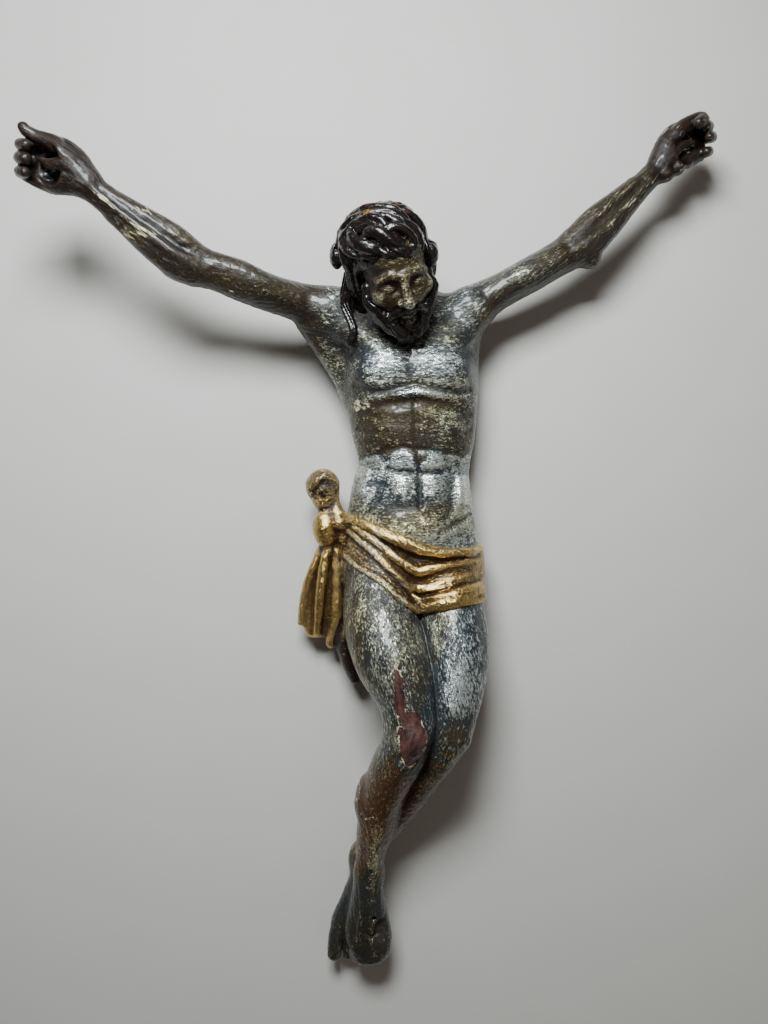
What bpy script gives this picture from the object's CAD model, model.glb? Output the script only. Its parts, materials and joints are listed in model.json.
"""The looks of a carved wooden corpus figure from a crucifix, silvered, gilded and worn.

The carving is modelled in millimetres as rounded forms that melt into each other and are cut
back by hollows, as a carver blocks it out. Each piece is one closed surface of those forms.
Carving frame: +X to the figure's left hand, +Y to the head, +Z from the back to the chest.
"""

import json

import bmesh
import bpy
import numpy as np
import openvdb
from mathutils import Matrix, Vector

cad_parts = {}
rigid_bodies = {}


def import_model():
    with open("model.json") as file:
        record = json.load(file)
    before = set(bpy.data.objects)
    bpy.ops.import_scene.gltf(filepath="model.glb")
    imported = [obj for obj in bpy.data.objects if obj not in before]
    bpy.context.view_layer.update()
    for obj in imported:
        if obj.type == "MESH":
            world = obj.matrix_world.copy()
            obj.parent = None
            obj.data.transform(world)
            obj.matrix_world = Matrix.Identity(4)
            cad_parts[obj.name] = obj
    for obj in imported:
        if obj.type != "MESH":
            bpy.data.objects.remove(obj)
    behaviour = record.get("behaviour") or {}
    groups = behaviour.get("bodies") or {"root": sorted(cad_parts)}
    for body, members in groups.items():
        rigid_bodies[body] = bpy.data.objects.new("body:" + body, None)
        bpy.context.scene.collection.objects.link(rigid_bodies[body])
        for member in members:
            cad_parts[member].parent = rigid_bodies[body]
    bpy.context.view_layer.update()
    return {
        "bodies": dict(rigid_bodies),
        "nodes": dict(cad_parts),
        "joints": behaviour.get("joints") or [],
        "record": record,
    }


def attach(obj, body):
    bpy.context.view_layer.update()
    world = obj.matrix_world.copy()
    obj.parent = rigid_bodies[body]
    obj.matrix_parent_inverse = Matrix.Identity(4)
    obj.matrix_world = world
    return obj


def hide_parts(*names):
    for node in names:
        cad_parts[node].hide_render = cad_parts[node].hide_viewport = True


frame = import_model()

MM = 0.001
WELD = 1e-7  # points closer than this to a cut lie on it
# Where the carving's own origin lies in the part's frame, in millimetres.
CARVING_PLACE = np.array([0.717, 16.490, 0.0])


# Forms


def unit(v):
    v = np.asarray(v, float)
    return v / max(np.linalg.norm(v), 1e-9)


def smooth(t):
    t = np.clip(t, 0, 1)
    return t * t * (3 - 2 * t)


class Frame:
    """A place with its own directions; at() gives a point of it as a place in the carving."""

    def __init__(self, origin, a, b):
        self.origin = np.asarray(origin, float)
        self.a = unit(a)
        self.c = unit(np.cross(self.a, b))
        self.b = np.cross(self.c, self.a)
        self.turn = np.array([self.a, self.b, self.c]).T.astype(np.float32)

    def at(self, p, q, s):
        return self.origin + p * self.a + q * self.b + s * self.c


WORLD = Frame((0, 0, 0), (1, 0, 0), (0, 1, 0))


def scaled_distance(p, q, s, a, b, c):
    """The distance to an ellipsoid, near enough, from a point in shares of its radii."""
    k0 = np.sqrt(p * p + q * q + s * s)
    k1 = np.sqrt((p / a) ** 2 + (q / b) ** 2 + (s / c) ** 2)
    return k0 * (k0 - 1) / np.maximum(k1, 1e-6)


def grooves(strands, around, along):
    """Grooves between strands: how many run side by side, their depth and their twist."""
    count, depth, twist = strands
    return depth * (1 - np.abs(np.cos((count * around + twist * along) / 2)))


class Egg:
    """An ellipsoid; strands run down from its top."""

    def __init__(self, centre, radii, frame, strands=None):
        self.c = np.asarray(centre, np.float32)
        self.r = radii
        self.turn = frame.turn
        self.reach = max(radii)
        self.strands = strands

    def distance(self, points):
        p, q, s = ((points - self.c) @ self.turn).T
        a, b, c = self.r
        value = scaled_distance(p / a, q / b, s / c, a, b, c)
        if self.strands:
            value = value + grooves(self.strands, np.arctan2(s / c, p / a), np.sin(0.5 * q))
        return value


class Limb:
    """A tapered length with an oval section; strands run along it."""

    def __init__(self, start, end, side, strands, gone):
        axis = end[:3] - start[:3]
        self.length = max(np.linalg.norm(axis), 1e-6)
        axis = axis / self.length
        side = unit(side - axis * np.dot(side, axis))
        self.basis = np.array([side, np.cross(axis, side), axis]).T.astype(np.float32)
        self.start = start.astype(np.float32)
        self.end = end.astype(np.float32)
        self.c = (start[:3] + end[:3]) / 2
        self.strands = strands
        self.gone = gone
        self.reach = self.length / 2 + max(*start[3:5], *end[3:5])

    def distance(self, points):
        across, front, along = ((points - self.start[:3]) @ self.basis).T
        t = np.clip(along / self.length, 0, 1)
        a = self.start[3] + t * (self.end[3] - self.start[3])
        b = self.start[4] + t * (self.end[4] - self.start[4])
        m = np.minimum(a, b)
        past = (along - t * self.length) / m
        value = scaled_distance(across / a, front / b, past, a, b, m)
        if self.strands:
            turn = np.arctan2(front / b, across / a)
            value = value + grooves(self.strands, turn, self.gone + along)
        return value


def egg(x, y, z, radii, frame=WORLD, strands=None):
    return Egg(frame.at(x, y, z), radii, frame, strands)


def between(p0, p1, p2, p3, t):
    """A place on the smooth curve from p1 to p2, which comes from p0 and goes on to p3."""
    slope1 = (p2 - p0) / 2
    slope2 = (p3 - p1) / 2
    bend = 2 * (p1 - p2) + slope1 + slope2
    return p1 + t * (slope1 + t * (p2 - p1 - slope1 - bend + t * bend))


def limb(stations, side=(1, 0, 0), steps=4, frame=WORLD, strands=None):
    """A limb through stations of x, y, z, half width and half depth, smoothed between."""
    placed = []
    for x, y, z, *size in stations:
        placed.append(np.array([*frame.at(x, y, z), size[0], size[-1]]))
    last = len(placed) - 1
    points = []
    for i in range(last):
        around = placed[max(i - 1, 0)], placed[i], placed[i + 1], placed[min(i + 2, last)]
        points += [between(*around, k / steps) for k in range(steps)]
    points.append(placed[last])
    parts = []
    gone = 0
    for start, end in zip(points, points[1:]):
        parts.append(Limb(start, end, side, strands, gone))
        gone += parts[-1].length
    return parts


def flat(items):
    for item in items:
        if isinstance(item, (list, tuple)):
            yield from flat(item)
        else:
            yield item


CREASE = 0.6  # how softly two forms meet that only lie against each other


class Form:
    """Parts that join the clay, or cut it, and melt in over a blend width."""

    def __init__(self, parts, blend=3, within=0, cut=False):
        self.parts = list(flat([parts]))
        self.blend = blend
        self.within = within
        self.cut = cut

    def distance(self, parts, points, place):
        value = parts[0].distance(points)
        for part in parts[1:]:
            value = smooth_min(value, part.distance(points), self.within)
        return value


def mass(parts, blend=3, within=0):
    return Form(parts, blend, within)


def hollow(parts, blend=1, within=0):
    return Form(parts, blend, within, cut=True)


def slim(stations, blend=CREASE):
    """A slim length in fewer steps, such as a finger or a fold of the cloth."""
    return mass(limb(stations, steps=3), blend)


def mirrored(make):
    """What make gives for the figure's right side and then for its left."""
    return list(flat([make(-1), make(1)]))


def egg_pair(middle, apart, y, z, radii, blend, frame=WORLD):
    """Two equal eggs, one on each side of a middle line."""
    return mirrored(lambda s: mass(egg(middle + s * apart, y, z, radii, frame), blend))


def smooth_min(a, b, k):
    """The lower of two distances, rounded where they are less than k apart."""
    if k <= 0:
        return np.minimum(a, b)
    h = np.maximum(k - np.abs(a - b), 0) / k
    return np.minimum(a, b) - h * h * k / 4


class Clay:
    """A list of forms that knows which of them can matter near a place."""

    def __init__(self, forms):
        self.forms = forms
        owners, centres, limits = [], [], []
        for n, form in enumerate(forms):
            for part in form.parts:
                owners.append((n, part))
                centres.append(part.c)
                limits.append(part.reach + form.blend + form.within)
        self.owners = owners
        self.centres = np.array(centres)
        self.limits = np.array(limits)

    def near(self, middle, reach):
        away = np.linalg.norm(self.centres - middle, axis=1) - self.limits
        kept = {}
        for i in np.nonzero(away < reach)[0]:
            n, part = self.owners[i]
            kept.setdefault(n, []).append(part)
        return [(self.forms[n], parts) for n, parts in kept.items()]

    def field(self, points, near, place):
        value = np.full(len(points), 1e3, np.float32)
        for form, parts in near:
            d = form.distance(parts, points, place)
            if isinstance(form, Relief):
                value = value - d
            elif form.cut:
                value = -smooth_min(-value, d, form.blend)
            else:
                value = smooth_min(value, d, form.blend)
        return value


class Room:
    """The ball of space that other forms take up."""

    def __init__(self, clay, grown):
        low, high = clay.centres.min(0), clay.centres.max(0)
        self.c = (low + high) / 2
        away = np.linalg.norm(clay.centres - self.c, axis=1)
        self.reach = (away + clay.limits).max() + grown


class Group(Form):
    """Forms that melt into each other first, and join the clay as one.

    They can be grown by a thickness and trimmed to edges, as cloth that lies on a body.
    """

    def __init__(self, forms, blend=1.0, grown=0, edges=None):
        self.under = Clay(forms)
        super().__init__(Room(self.under, grown), blend)
        self.grown = grown
        self.edges = edges

    def distance(self, parts, points, place):
        middle, reach = place
        near = self.under.near(middle, reach + self.grown)
        value = self.under.field(points, near, place) - self.grown
        return value if self.edges is None else np.maximum(value, self.edges(points))


class Stroke:
    """A length of relief, given by x, y, half width and height at its ends."""

    def __init__(self, start, end):
        self.start = start.astype(np.float32)
        self.change = (end - start).astype(np.float32)
        self.span = max(float(self.change[:2] @ self.change[:2]), 1e-6)
        self.c = np.array([*(start[:2] + end[:2]) / 2, STROKE_DEPTH])
        across = np.sqrt(self.span) / 2 + max(start[2], end[2])
        self.reach = np.hypot(across, STROKE_DEPTH)

    def height(self, points, sharp):
        from_start = points[:, :2] - self.start[:2]
        t = np.clip(from_start @ self.change[:2] / self.span, 0, 1)
        away = from_start - t[:, None] * self.change[:2]
        share = (away * away).sum(1) / (self.start[2] + t * self.change[2]) ** 2
        return (self.start[3] + t * self.change[3]) * np.maximum(1 - share, 0) ** sharp


class Relief(Form):
    """Low relief laid on the front of the clay, or cut into it where its height is below zero."""

    def __init__(self, stations, sharp, above):
        stations = [np.array(station, float) for station in stations]
        ends = stations[1:] or stations
        super().__init__([Stroke(a, b) for a, b in zip(stations, ends)], 0)
        self.sharp = sharp
        self.above = above
        self.raised = stations[0][3] > 0

    def distance(self, parts, points, place):
        heights = [part.height(points, self.sharp) for part in parts]
        height = np.max(heights, 0) if self.raised else np.min(heights, 0)
        return height * smooth((points[:, 2] - self.above) / 5)


STROKE_DEPTH = 40  # strokes lie between this height of the carving and its double or its floor


def relief(stations, sharp=2, above=15):
    """sharp gives the stroke's section: 1 is round, more is narrower at its foot."""
    return Relief(stations, sharp, above)


BLOCK = 8  # samples along the side of the smallest block that is filled or skipped
GROUP = 4  # blocks along the side of a group whose middles are looked at together
SAFE = 1.4  # blocks are skipped from this many half diagonals away, as distances are rough


def cells(shape):
    return np.stack(np.meshgrid(*[np.arange(n) for n in shape], indexing="ij"), -1)


def carved(clay, low, high, step):
    """The surface of the clay in a box: its points and quads."""
    low = np.array(low, float)
    side = BLOCK * step
    counts = np.ceil((np.array(high) - low) / side / GROUP).astype(int) * GROUP
    values = np.empty(counts * BLOCK, np.float32)
    local = cells((BLOCK,) * 3).reshape(-1, 3) * step
    half = np.sqrt(3) / 2 * side
    group_cells = cells((GROUP,) * 3).reshape(-1, 3)
    for corner in cells(counts // GROUP).reshape(-1, 3) * GROUP:
        blocks = corner + group_cells
        middles = low + (blocks + 0.5) * side
        place = (low + (corner + GROUP / 2) * side, GROUP * half)
        rough = clay.field(middles.astype(np.float32), clay.near(*place), place)
        for block, middle, value in zip(blocks, middles, rough):
            i, j, k = block * BLOCK
            target = values[i:i + BLOCK, j:j + BLOCK, k:k + BLOCK]
            if abs(value) > SAFE * half + step:
                target[:] = np.sign(value) * side
                continue
            place = (middle, half)
            points = (low + block * side + local).astype(np.float32)
            target[:] = clay.field(points, clay.near(*place), place).reshape(target.shape)
    grid = openvdb.FloatGrid(side)
    grid.copyFromArray(values)
    points, quads = grid.convertToQuads()
    return low + points * step, quads.astype(np.int64)


# The figure

MID = 13  # the middle line of the trunk stands this far to the figure's left
# The directions across the palms.
ACROSS_RIGHT_PALM = (-0.1, 1, 0)
ACROSS_LEFT_PALM = (-0.18, 0.98, 0)


def right_hand():
    """Three fingers are curled over the palm and the forefinger points outwards."""
    return [
        mass(limb([[-118.4, 132.4, 56, 5.6, 4.8], [-121.6, 134.4, 56, 7.6, 5],
                   [-125.6, 136.8, 56, 9.8, 5.4], [-129.8, 138.6, 55.5, 11, 5.2],
                   [-134.9, 140.9, 53, 10.6, 3.6], [-138.5, 142.2, 52, 9.4, 3]],
                  side=ACROSS_RIGHT_PALM), 3),
        slim([[-119.6, 134.4, 57, 3], [-124, 138, 58.5, 4.2], [-128, 141.8, 60, 4],
              [-131, 145.6, 60, 3.4]], 2),
        slim([[-122.4, 132, 54, 4.2], [-128.8, 132.4, 54, 4.5], [-135.7, 133.4, 53, 3.8],
              [-141.3, 134.7, 53, 3], [-144.5, 135.8, 54, 2.4]], 2),
        hollow(egg(-133.7, 137.2, 61.5, [6.5, 8.5, 9]), 1.2),
        slim([[-129.6, 145, 60, 3.4], [-133.3, 146.8, 60.5, 3], [-137.2, 148, 61, 2.7],
              [-139.9, 149.2, 62, 2.5], [-141.3, 150.6, 62.5, 2.3]]),
        slim([[-136.9, 146.6, 52, 2.8], [-142.1, 147, 53, 2.7], [-143.9, 146.1, 57, 2.6],
              [-142.6, 144.5, 61.5, 2.4], [-139.2, 142.7, 65, 2.2]]),
        slim([[-136.9, 141.8, 52, 2.8], [-142.5, 142.1, 53, 2.8], [-144.3, 141, 57, 2.7],
              [-143.1, 139.4, 61, 2.6], [-139.8, 137.6, 64.5, 2.3]]),
        slim([[-136.1, 136.1, 52, 2.8], [-142.1, 136.1, 53, 2.7], [-144.6, 135.8, 56, 2.5],
              [-143.6, 134.5, 60, 2.3], [-140.5, 133, 63, 2.1]]),
        slim([[-124.4, 139.5, 59, 3.6], [-127.6, 137.7, 60, 2.8], [-132, 137.9, 59, 2.2],
              [-136.6, 139.9, 57.5, 1.2]]),
    ]


def left_hand():
    """The fingers are curled over the palm and the thumb lies in it."""
    return [
        mass(limb([[121.9, 154, 26.5, 6, 5], [125.2, 157.4, 27, 8.2, 5.2],
                   [128.4, 159.4, 26, 9.8, 4.4], [134.3, 163.1, 22.5, 10, 3],
                   [139.1, 164.4, 21.5, 9, 2.8]], side=ACROSS_LEFT_PALM), 3),
        mass(egg(127.8, 150.1, 27, [3.2, 3.4, 4]), 1.5),
        mass(egg(122.8, 147.4, 26.4, [3.8, 3.4, 4]), 2),
        hollow(egg(131.6, 158.7, 32, [6, 8, 9.5]), 1.2),
        slim([[122.6, 158, 28, 3.2], [126.6, 163.6, 29, 3.4], [129.6, 166.8, 29, 3.3],
              [132.8, 168.9, 29, 3.2], [135.4, 169.9, 29.5, 3.1], [137.2, 169, 31, 3],
              [134.7, 166.4, 34, 2.6]]),
        slim([[137.2, 168.6, 22, 2.6], [140.8, 169.4, 23, 2.6], [141.3, 168.2, 27, 2.5],
              [138.9, 166.2, 31, 2.2]]),
        slim([[138.4, 165.5, 21, 2.6], [142.5, 165.5, 22, 2.5], [143.3, 164.1, 26, 2.4],
              [140.8, 162.2, 30, 2.1]]),
        slim([[128.5, 154.4, 24, 3.4], [134.1, 156.4, 23, 3], [139.4, 158.2, 23, 2.5],
              [141.9, 157.6, 26, 2.2], [139.7, 156.1, 29.5, 2]]),
        slim([[125.4, 155.7, 29, 2.8], [127.8, 157.9, 29.5, 2.1], [131.2, 159.9, 28.5, 1.7],
              [134.6, 160.7, 27.5, 0.9]]),
    ]


def hands():
    return [*right_hand(), *left_hand()]


def head_frame():
    """The head is bowed, turned and tilted on the neck."""
    pitch, yaw, roll = np.radians([42, 9, 11])
    turn = (Matrix.Rotation(roll, 3, "Z") @ Matrix.Rotation(pitch, 3, "X")
            @ Matrix.Rotation(yaw, 3, "Y"))
    return Frame([3.4, 101, 49.5], turn @ Vector((1, 0, 0)), turn @ Vector((0, 1, 0)))


HEAD = head_frame()


def on_head(stations, strands=None):
    """A limb whose stations are given from the middle of the head."""
    return limb(stations, side=HEAD.a, steps=3, frame=HEAD, strands=strands)


# The hair sits on an egg over the skull.
SCALP_CENTRE = np.array([-1.8, 7.3, -4.5])
SCALP_RADII = np.array([16.4, 14.4, 17.3])
SUNK_SCALP = 1.2  # how far the gaps between the curls are sunk

# Strands of hair, as how many run side by side, the depth of their grooves and their twist.
CURL_STRANDS = (3, 0.5, 0.2)
LOCK_STRANDS = (8, 0.7, 0.1)
NAPE_STRANDS = (30, 0.8, 0.05)
WHISKER_STRANDS = (6, 0.45, 0.3)

# Each curl of the hair as places on the scalp: turn, rise and half width.
CURLS = [
    # The roll of curls over the brow, from the figure's right to its left.
    [(-84, 43, 2.2), (-69, 35, 3), (-54, 29, 3.4), (-41, 26, 3.4), (-28, 23, 3), (-17, 19, 1.8)],
    [(-43, 37, 2), (-36, 45, 2.8), (-20, 46, 3.3), (-9, 38, 3.4), (0, 29, 3.1), (10, 23, 2.4),
     (20, 24, 1.4)],
    [(-9, 37, 1.7), (-3, 46, 2.3), (15, 47, 2.8), (27, 39, 3), (33, 28, 3.1), (35, 16, 2.9),
     (28, 9, 1.9)],
    [(2, 40, 1.4), (10, 33, 2), (16, 25, 1.5)],
    [(-2, 21, 1.8), (10, 12, 2.6), (23, 7, 2.9), (38, 5, 2.4), (49, 8, 1.7)],
    [(-20, 23, 1.7), (-11, 15, 2.3), (-3, 10, 2.1), (6, 6, 1.3)],
    # The locks at the temples.
    [(42, 47, 1.9), (49, 34, 2.4), (51, 23, 2.8), (50, 12, 2.6), (47, 1, 2.4), (40, -5, 1.7)],
    [(-127, 28, 2), (-111, 27, 2.6), (-87, 24, 3), (-71, 16, 3), (-58, 12, 2.4), (-44, 10, 1.4)],
    [(-53, 30, 1.5), (-46, 18, 2.2), (-35, 13, 2), (-24, 11, 1.2)],
    # The waves above the roll.
    [(-73, 46, 1.7), (-69, 58, 2.4), (-48, 66, 2.9), (-19, 65, 2.9), (-4, 55, 2.4), (-2, 44, 1.5)],
    [(-63, 46, 1.4), (-48, 54, 2.1), (-29, 54, 2.1), (-14, 47, 1.4)],
    [(-28, 72, 1.7), (8, 69, 2.2), (24, 58, 2.4), (31, 46, 2.4), (33, 35, 1.7)],
    # The hair combed round from the crown.
    [(-116, 42, 1.8), (-130, 51, 2.5), (-126, 69, 2.9), (-123, 84, 2.9), (59, 81, 2.9),
     (57, 67, 2.9), (53, 54, 2.5), (50, 41, 1.8)],
    [(-96, 49, 1.5), (-91, 63, 2.1), (-70, 74, 2.3), (-19, 78, 2.3), (29, 74, 2.3), (42, 61, 2.2),
     (44, 50, 1.8)],
    # The outer locks on both sides of the head, which leave the scalp lower down.
    [(93, 30, 2), (87, 20, 2.6), (80, 8, 2.6), (73, -4, 2.8), (68, -13, 2.9, 1.5),
     (63, -23, 2.2, 2.7)],
    [(-142, 40, 2), (-130, 30, 2.6), (-119, 18, 2.9), (-111, 7, 2.9), (-103, -3, 2.2)],
    [(-103, 8, 2.2), (-90, -4, 2.9), (-87, -20, 2.6), (-92, -33, 2.4, 1), (-96, -43, 2.2, 4.9)],
]


def scalp(turn, rise, lift=0):
    """A place on the scalp, by the turn from brow to nape and the rise to the crown."""
    t, r = np.radians([turn, rise])
    out = np.array([np.sin(t) * np.cos(r), np.sin(r), np.cos(t) * np.cos(r)])
    return SCALP_CENTRE + (SCALP_RADII + lift) * out


def curl(places):
    """A curl through places on the scalp: turn, rise, half width and lift, if it has its own."""
    stations = []
    for turn, rise, width, *lift in places:
        stations.append([*scalp(turn, rise, *(lift or [0.08 * width])), 0.85 * width])
    return on_head(stations, CURL_STRANDS)


def combed(turn):
    """A plain lock of the back hair, from the crown to the nape."""
    return curl([(turn, 78, 1.4), (turn + 5, 52, 2.6), (turn - 4, 24, 3), (turn + 5, -6, 3),
                 (turn - 2, -36, 2.4)])


def hair():
    return [
        mass(egg(*SCALP_CENTRE, SCALP_RADII - SUNK_SCALP, HEAD), 0),
        # The brow and the right temple are bare.
        hollow(egg(-6, -10, 12, [20, 15, 16], HEAD), 1),
        mass(on_head([[14.4, 3, 1, 4.6], [14.2, -7, -1.6, 4.6], [12.4, -16, -5, 4]],
                     LOCK_STRANDS), 2),
        mass(on_head([[-15.4, 3, -3, 3.8], [-15, -7, -5, 4], [-12.8, -16, -7, 3.8]],
                     LOCK_STRANDS), 2),
        mass(on_head([[0, 0, -15, 9], [0, -10, -13.6, 9], [0, -18, -11, 7.6]], NAPE_STRANDS), 2),
        # The curls that stand out over the ears, the right one open in the middle.
        mass(egg(-19.4, 105, 48, [3, 5.4, 5]), 1.4),
        hollow(egg(-19.2, 106.8, 52.6, [1.1, 1.3, 2.4]), 0.6),
        mass(egg(19.4, 105.6, 49.6, [2.8, 4.6, 4.6]), 1.4),
        *[mass(combed(turn), CREASE) for turn in range(84, 290, 24)],
        *[mass(curl(places), 0.4) for places in CURLS],
    ]


def falling_locks():
    """The locks that hang beside the neck on the figure's right."""
    return [
        mass(limb([[-13.6, 99, 40, 3.6], [-15.6, 92, 36.4, 3.2], [-15, 86, 35, 2.6]],
                  strands=(8, 0.9, 0.2)), 0.8),
        mass(limb([[-14, 95, 38, 2.6], [-16.6, 88.6, 37, 2.2], [-14.4, 82, 37.6, 2],
                   [-12.8, 76.4, 38, 1.9], [-14.6, 71.4, 37, 1.4]], strands=(6, 0.7, 0.3)), 0.6),
        mass(limb([[-8, 96, 38, 4], [-9.4, 88, 34.4, 3.4]], strands=(9, 0.9, 0.1)), 1.2),
    ]


def beard():
    """Whiskers in short curls that grow from the cheeks to a chin with two points."""
    return [
        *mirrored(lambda s: mass(on_head([[s * 12.8, -4.6, 4.8, 2.6], [s * 11, -13.6, 8, 3.8],
                                          [s * 5.6, -21, 11, 4.2]]), 1.2)),
        mass(on_head([[0, -20.6, 12, 4.8, 3.6], [0, -24.6, 12, 5, 4],
                      [0, -28, 11, 3.6, 3.4]]), 1.2),
        *mirrored(lambda s: mass(on_head([[s * 0.8, -11.2, 18, 1.3], [s * 4.4, -12.8, 16.2, 1.9],
                                          [s * 7.4, -16.6, 13.4, 1.9],
                                          [s * 6.6, -20.4, 12.8, 1.4]], (5, 0.3, 0.4)), 0.7)),
        *mirrored(lambda s: [
            mass(on_head([[s * (13.4 - 2.6 * i), -5.4 - 3.6 * i, 6 + 2.6 * i, 1.6],
                          [s * (13.6 - 2.6 * i), -9.6 - 3.6 * i, 7.6 + 2.4 * i, 2.8],
                          [s * (10.8 - 2.6 * i), -12.8 - 3.6 * i, 10.2 + 1.8 * i, 2.8],
                          [s * (9.4 - 2.4 * i), -16 - 3.4 * i, 10.2 + 1.4 * i, 1.6]],
                         WHISKER_STRANDS), 0.4)
            for i in range(4)]),
        *mirrored(lambda s: mass(on_head([[s * 1.6, -21, 14.4, 1.4], [s * 3.4, -25, 13.6, 2.1],
                                          [s * 2.6, -29, 11.8, 1.7], [s * 1.2, -31.2, 11, 0.9]],
                                         WHISKER_STRANDS), 0.4)),
    ]


# The wrapped cloth: its thickness, and its rolled top and its hem seen from the front.
CLOTH_THICKNESS = 1.4
TOP_LINE = np.array([[-17.9, -3.3], [-11.3, -3.9], [-3.9, -7.3], [3.8, -11.1], [11.9, -14.3],
                     [20.5, -16.9], [29.1, -17.6], [37.4, -17.4], [43.2, -15.4]])
HEM_LINE = np.array([[-16.8, -19.4], [-12.1, -22.9], [-5.3, -26.7], [0, -30.3], [5.5, -35.7],
                     [11, -39.7], [14.5, -41.8], [21.1, -40.5], [25.8, -39.5], [31.9, -38.2],
                     [38, -37.8], [47, -38]])
HEM_AT_BACK = -47


def cloth_edges(points):
    """Above zero outside the wrapped cloth's rolled top and its hem."""
    x, y, z = points.T
    top = np.interp(x, *TOP_LINE.T)
    front = np.interp(x, *HEM_LINE.T)
    hem = front + (HEM_AT_BACK - front) * smooth((24 - z) / 10)  # it drops round the flanks
    return np.maximum(y - top, hem - y)


def fold(stations):
    return slim(stations, 0.8)


def loincloth():
    return [
        Group(hips(), 0, CLOTH_THICKNESS, cloth_edges),
        # The rolled top.
        fold([[-19.5, -3, 14, 2], [-18.6, -2.4, 22, 2.2], [-11.3, -3.9, 29, 2.2],
              [-3.9, -7.3, 33.4, 2.4], [3.8, -11.1, 36.6, 2.9], [11.9, -14.3, 37.4, 3],
              [20.5, -16.9, 36.4, 2.8], [29.1, -17.6, 34.8, 2.6], [37.2, -17.4, 30, 2.3],
              [41.2, -16.4, 22, 2.1], [41.8, -15.2, 14, 1.9], [38, -13, 5.4, 2],
              [26, -12, 1.8, 1.8], [6, -10, 1.8, 1.8], [-10, -7, 5, 2], [-19.5, -3, 14, 2]]),
        # The folds that hang across the front, and the ridge they gather in.
        fold([[-12, -6.4, 28.6, 2.2], [-6, -10.4, 32, 2.5], [1.3, -16.4, 35.2, 2.4],
              [9, -22.4, 36.6, 2.3], [14.2, -25.2, 36.8, 2.4], [20.5, -24, 36.6, 2.3],
              [28.2, -22.2, 35.4, 2.1], [36.3, -21.4, 31.2, 1.8], [42, -20.6, 23, 1.4]]),
        fold([[6.5, -28.6, 36.6, 1.6], [9.4, -31, 37.2, 1.8], [14.3, -32.4, 36.4, 1.9],
              [20.8, -31.6, 37, 1.8], [27.2, -29.6, 37, 1.8], [34.7, -27.4, 34, 1.6],
              [42, -26.4, 25.5, 1.3]]),
        fold([[-14.1, -8.6, 26.4, 2], [-7.8, -13.8, 31.8, 2], [0, -21.6, 36.4, 1.9],
              [5.5, -27.2, 37.4, 1.7], [9.4, -31, 37.4, 1.5], [12.6, -35, 36.8, 1.5],
              [14.3, -38.2, 36.6, 1.5], [15.8, -40.9, 37.2, 1.5]]),
        # The hem, thin over the right thigh and full over the left.
        fold([[-16.8, -19.4, 24, 1.2], [-12.1, -22.9, 32, 1.2], [-5.3, -26.7, 37.6, 1.2],
              [0, -30.3, 40.2, 1.2], [5.5, -35.7, 41.2, 1.2], [11, -39.7, 39.4, 1.4],
              [14.5, -41.8, 37.6, 1.6]]),
        fold([[14.5, -41.6, 37.4, 1.7], [21.1, -40.2, 40, 1.8], [25.8, -39.4, 41.2, 1.8],
              [31.9, -38.4, 40.6, 1.7], [38, -37.8, 37, 1.5], [42.6, -37.2, 30, 1.3],
              [44.6, -36.2, 20, 1]]),
        relief([[17.5, -36.6, 4.5, 1.2], [23.6, -35.6, 4.5, 1.8], [30, -34.4, 4.5, 1.8],
                [36.7, -32.8, 4.5, 1.6], [43, -32, 4, 1]], 1),
        relief([[12, -34.2, 1.4, -0.8], [15.4, -35, 1.4, -1.4], [20.4, -34.4, 1.4, -1.4],
                [25.8, -33, 1.4, -1.4], [32.8, -30.6, 1.4, -1.2], [41, -29.4, 1.4, -0.6]]),
        relief([[0, -12, 2, -0.6], [6.8, -16.6, 2.2, -1.1], [13.2, -20, 2.2, -1.2],
                [19.6, -20.4, 2.2, -1.1], [26, -20.4, 2, -1], [34, -19.6, 2, -0.6]]),
        fold([[43.6, -30.4, 18, 1.4], [37.4, -29, 5, 1.4], [20, -27, -0.4, 1.2]]),
    ]


def shoulders_and_neck():
    return [
        mass(limb([[10, 84, 19, 12, 10], [8, 94, 25, 9.5, 9], [5, 103, 35, 9, 9]]), 5),
        mass(limb([[-16, 88, 20, 7.2], [-4, 91, 21, 7.4], [6, 95, 24, 6.4]]), 5),
        mass(limb([[35, 87.6, 17, 7], [24, 89.4, 18, 6.2], [12, 95, 23, 6]]), 5),
        # The collar bones, and the two cords of muscle that run down to them.
        mass(limb([[9, 82.5, 34, 1.7], [-2, 85.5, 32.4, 1.9], [-14, 89, 28.8, 1.9]]), 2),
        mass(limb([[14, 82, 34, 1.7], [25, 84.5, 30.4, 1.9], [35, 88.6, 26, 1.9]]), 2),
        *mirrored(lambda s: mass(limb([[10 + s * 2, 84, 33, 2], [5 + s * 7, 97, 37, 2.6]]), 2)),
    ]


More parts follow.
